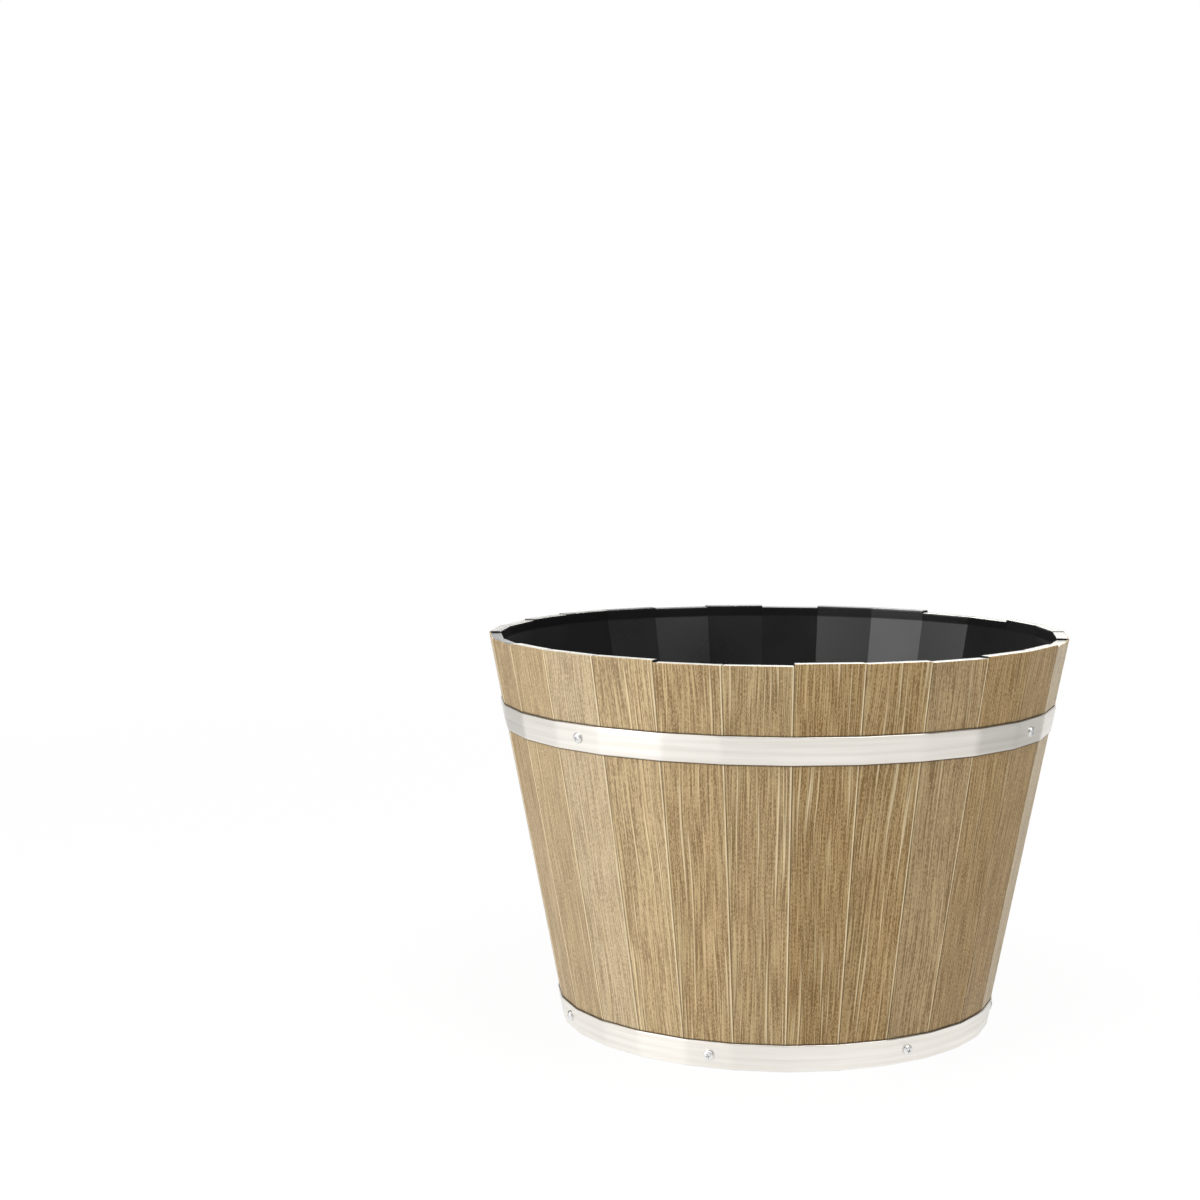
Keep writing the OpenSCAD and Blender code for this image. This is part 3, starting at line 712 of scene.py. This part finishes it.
def turned(name, side, around=32):
    """A closed solid of revolution from its outline, listed from the top down."""
    shape = bmesh.new()
    points = [shape.verts.new((r, 0, z)) for r, z in side]
    edges = [shape.edges.new(pair) for pair in zip(points, points[1:])]
    bmesh.ops.spin(shape, geom=points + edges, axis=(0, 0, 1), cent=(0, 0, 0),
                   angle=2 * math.pi, steps=around, use_merge=True)
    bmesh.ops.remove_doubles(shape, verts=shape.verts, dist=1e-7)
    bmesh.ops.recalc_face_normals(shape, faces=shape.faces)
    mesh = bpy.data.meshes.new(name)
    shape.to_mesh(mesh)
    shape.free()
    made = bpy.data.objects.new(name, mesh)
    scene.collection.objects.link(made)
    return made


screw = turned("screw", [
    (0.0, HEAD_H), (0.0010, HEAD_H), (0.0022, HEAD_H * 0.985), (0.0032, HEAD_H * 0.91),
    (0.0039, HEAD_H * 0.76), (0.0044, HEAD_H * 0.52), (0.0046, HEAD_H * 0.25),
    (0.0046, 0.0001), (0.0045, 0.0), (SHANK_D / 2, 0.0), (SHANK_D / 2, -SHANK_LEN * 0.7),
    (point_d / 2, -SHANK_LEN), (0.0, -SHANK_LEN)])
# The recess is cut by two crossed blades that taper to its bottom: the length, the width and
# the height of a blade's two ends
blade_top, blade_bottom = (0.0050, 0.0011, HEAD_H + 0.0004), (0.0026, 0.0006, HEAD_H - 0.0016)
recess = bmesh.new()
for quarter in (0, 1):
    blade = bmesh.ops.create_cube(recess, size=1)["verts"]
    for point in blade:
        long, wide, z = blade_bottom if point.co.z < 0 else blade_top
        point.co = Vector((point.co.x * long, point.co.y * wide, z))
    bmesh.ops.rotate(recess, verts=blade, cent=(0, 0, 0),
                     matrix=Matrix.Rotation(quarter * math.pi / 2, 3, "Z"))
recess_mesh = bpy.data.meshes.new("recess")
recess.to_mesh(recess_mesh)
recess.free()
driver = bpy.data.objects.new("recess", recess_mesh)
scene.collection.objects.link(driver)
carve = screw.modifiers.new("recess", "BOOLEAN")
carve.object, carve.operation, carve.solver, carve.use_self = driver, "DIFFERENCE", "EXACT", True
graph = bpy.context.evaluated_depsgraph_get()
screw_mesh = bpy.data.meshes.new_from_object(screw.evaluated_get(graph), depsgraph=graph)
screw.modifiers.clear()
screw.data = screw_mesh
bpy.data.objects.remove(driver)

tree, given = new_tree("driven screws", {
    "Places": "Object", "Screw": "Object", "Seed": "Int", "Plating": "Material"})
places, shape = (add(tree, "GeometryNodeObjectInfo", (given[label],)).outputs["Geometry"]
                 for label in ("Places", "Screw"))
facing = add(tree, "FunctionNodeAlignRotationToVector", {"Vector": add(
    tree, "GeometryNodeInputNamedAttribute", ("facing",), data_type="FLOAT_VECTOR")}, axis="Z")
twist = add(tree, "FunctionNodeRandomValue", {
    2: 0.0, 3: math.pi / 2, "Seed": given["Seed"]}, data_type="FLOAT").outputs[1]
facing = add(tree, "FunctionNodeRotateRotation", {
    "Rotation": facing, "Rotate By": add(tree, "ShaderNodeCombineXYZ", {"Z": twist})},
    rotation_space="LOCAL")
row = add(tree, "GeometryNodeInstanceOnPoints", {
    "Points": places, "Instance": shape, "Rotation": facing})
row = add(tree, "GeometryNodeRealizeInstances", (row,))
add(tree, "NodeGroupOutput", (add(tree, "GeometryNodeSetMaterial", {
    "Geometry": shaded(tree, row), "Material": given["Plating"]}),))
screw_tree = tree

# Zinc plate on steel: bright, a touch blue, with cloudy patches a few millimetres across
zinc, tree = new_material("zinc-plated steel")
clouds = add(tree, "ShaderNodeTexNoise", {
    "Vector": add(tree, "ShaderNodeTexCoord").outputs["Object"], "Scale": 400.0,
    "Detail": 2.0}).outputs[0]
add(tree, "ShaderNodeOutputMaterial", (add(tree, "ShaderNodeBsdfPrincipled", {
    "Base Color": add(tree, "ShaderNodeMix", {
        0: add(tree, "ShaderNodeMapRange", (clouds, 0.35, 0.65)), 6: linear("#e6e6e5"),
        7: linear("#f5f5f4")}, data_type="RGBA"),
    "Metallic": 1.0, "Roughness": add(
        tree, "ShaderNodeMapRange", (clouds, 0.35, 0.65, 0.40, 0.50))}),))


def stave_spot(stave, z, sideways, out):
    """A place out from the middle of a stave, and the direction straight out of it."""
    turn = (stave + 0.5) * STEP
    reach = corner_r(z) * math.cos(HALF)
    ahead = Vector((math.sin(turn), -math.cos(turn), 0))
    beside = Vector((math.cos(turn), math.sin(turn), 0))
    facing = ahead * math.cos(LEAN) - Vector((0, 0, math.sin(LEAN)))
    return ahead * reach + beside * sideways + Vector((0, 0, z)) + facing * out, facing


def screws(hoop_name, bottom, lap, first, seed):
    """One hoop's screws, in every fourth stave from the first and in the lap, turned at random."""
    middle = bottom + HOOP_RISE / 2
    spots = [stave_spot(stave, middle, 0, one_layer + head_gap)
             for stave in range(first, STAVES, screw_every)]
    to_seam = corner_r(middle) * math.sin(HALF) - lap_pitch / 2
    spots += [stave_spot(lap - 1, middle, to_seam, two_layers + head_gap),
              stave_spot(lap, middle, -to_seam, two_layers + head_gap)]
    places = helper("places", [place for place, facing in spots])
    places.data.attributes.new("facing", "FLOAT_VECTOR", "POINT").data.foreach_set(
        "vector", [c for place, facing in spots for c in facing])
    made = grow("screws_in_" + hoop_name, screw_tree, {
        "Places": places, "Screw": screw, "Seed": seed, "Plating": zinc})
    bpy.data.objects.remove(places)
    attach(made, "barrel")
    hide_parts(hoop_name + "_screws")


screws("upper_hoop", UPPER_Z, UPPER_LAP, first=4, seed=3)
screws("lower_hoop", LOWER_Z, LOWER_LAP, first=2, seed=8)
bpy.data.objects.remove(screw)


# Drain plug. A moulded rubber plug in the floor: a tapered stem through the drain hole, a flange
# that sits in a shallow seat and a waisted grip to pull it out by.
plug_gap, flange_r, flange_t, grip_r = 0.0003, 0.019, 0.003, 0.008
under_z = floor_z - seat_depth + plug_gap
top_z = under_z + flange_t
stem_r, taper_z, tip_z = drain_r - plug_gap, 0.0068, 0.0025
waist_r, tip_r = grip_r * 0.72, stem_r * 0.86
plug = turned("rubber_plug", [
    (0.0, top_z + 0.0078), (grip_r - 0.0022, top_z + 0.0080),
    (grip_r - 0.0009, top_z + 0.0077), (grip_r - 0.0001, top_z + 0.0069),
    (grip_r, top_z + 0.0058), (grip_r - 0.0005, top_z + 0.0047),
    (waist_r + 0.0004, top_z + 0.0034), (waist_r, top_z + 0.0024),
    (waist_r + 0.0002, top_z + 0.0010), (waist_r + 0.0010, top_z + 0.0002),
    (waist_r + 0.0020, top_z), (flange_r - 0.0012, top_z), (flange_r - 0.0003, top_z - 0.0003),
    (flange_r, top_z - 0.0012), (flange_r, under_z + 0.0004), (flange_r - 0.0004, under_z),
    (stem_r, under_z), (stem_r, taper_z), (tip_r + 0.0003, tip_z), (tip_r - 0.0004, tip_z),
    (0.0, tip_z)], around=64)
for face in plug.data.polygons:
    face.use_smooth = True
plug.data.set_sharp_from_angle(angle=math.radians(50))

# Moulded rubber: matt black with a faint grain, a little dusty on top
rubber, tree = new_material("moulded black rubber")
where = add(tree, "ShaderNodeTexCoord").outputs["Object"]
dust = add(tree, "ShaderNodeTexNoise", {"Vector": where, "Scale": 90.0, "Detail": 3.0}).outputs[0]
pits = add(tree, "ShaderNodeTexNoise", {"Vector": where, "Scale": 1500.0, "Detail": 1.0})
add(tree, "ShaderNodeOutputMaterial", (add(tree, "ShaderNodeBsdfPrincipled", {
    "Base Color": add(tree, "ShaderNodeMix", {
        0: add(tree, "ShaderNodeMapRange", (dust, 0.4, 0.7)), 6: linear("#191919"),
        7: linear("#2b2a29")}, data_type="RGBA"),
    "Roughness": add(tree, "ShaderNodeMapRange", (dust, 0.3, 0.7, 0.55, 0.70)), "IOR": 1.5,
    "Normal": add(tree, "ShaderNodeBump", {
        "Height": pits, "Strength": 0.4, "Distance": 0.0001})}),))
plug.data.materials.append(rubber)
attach(plug, "plug")
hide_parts("drain_plug")
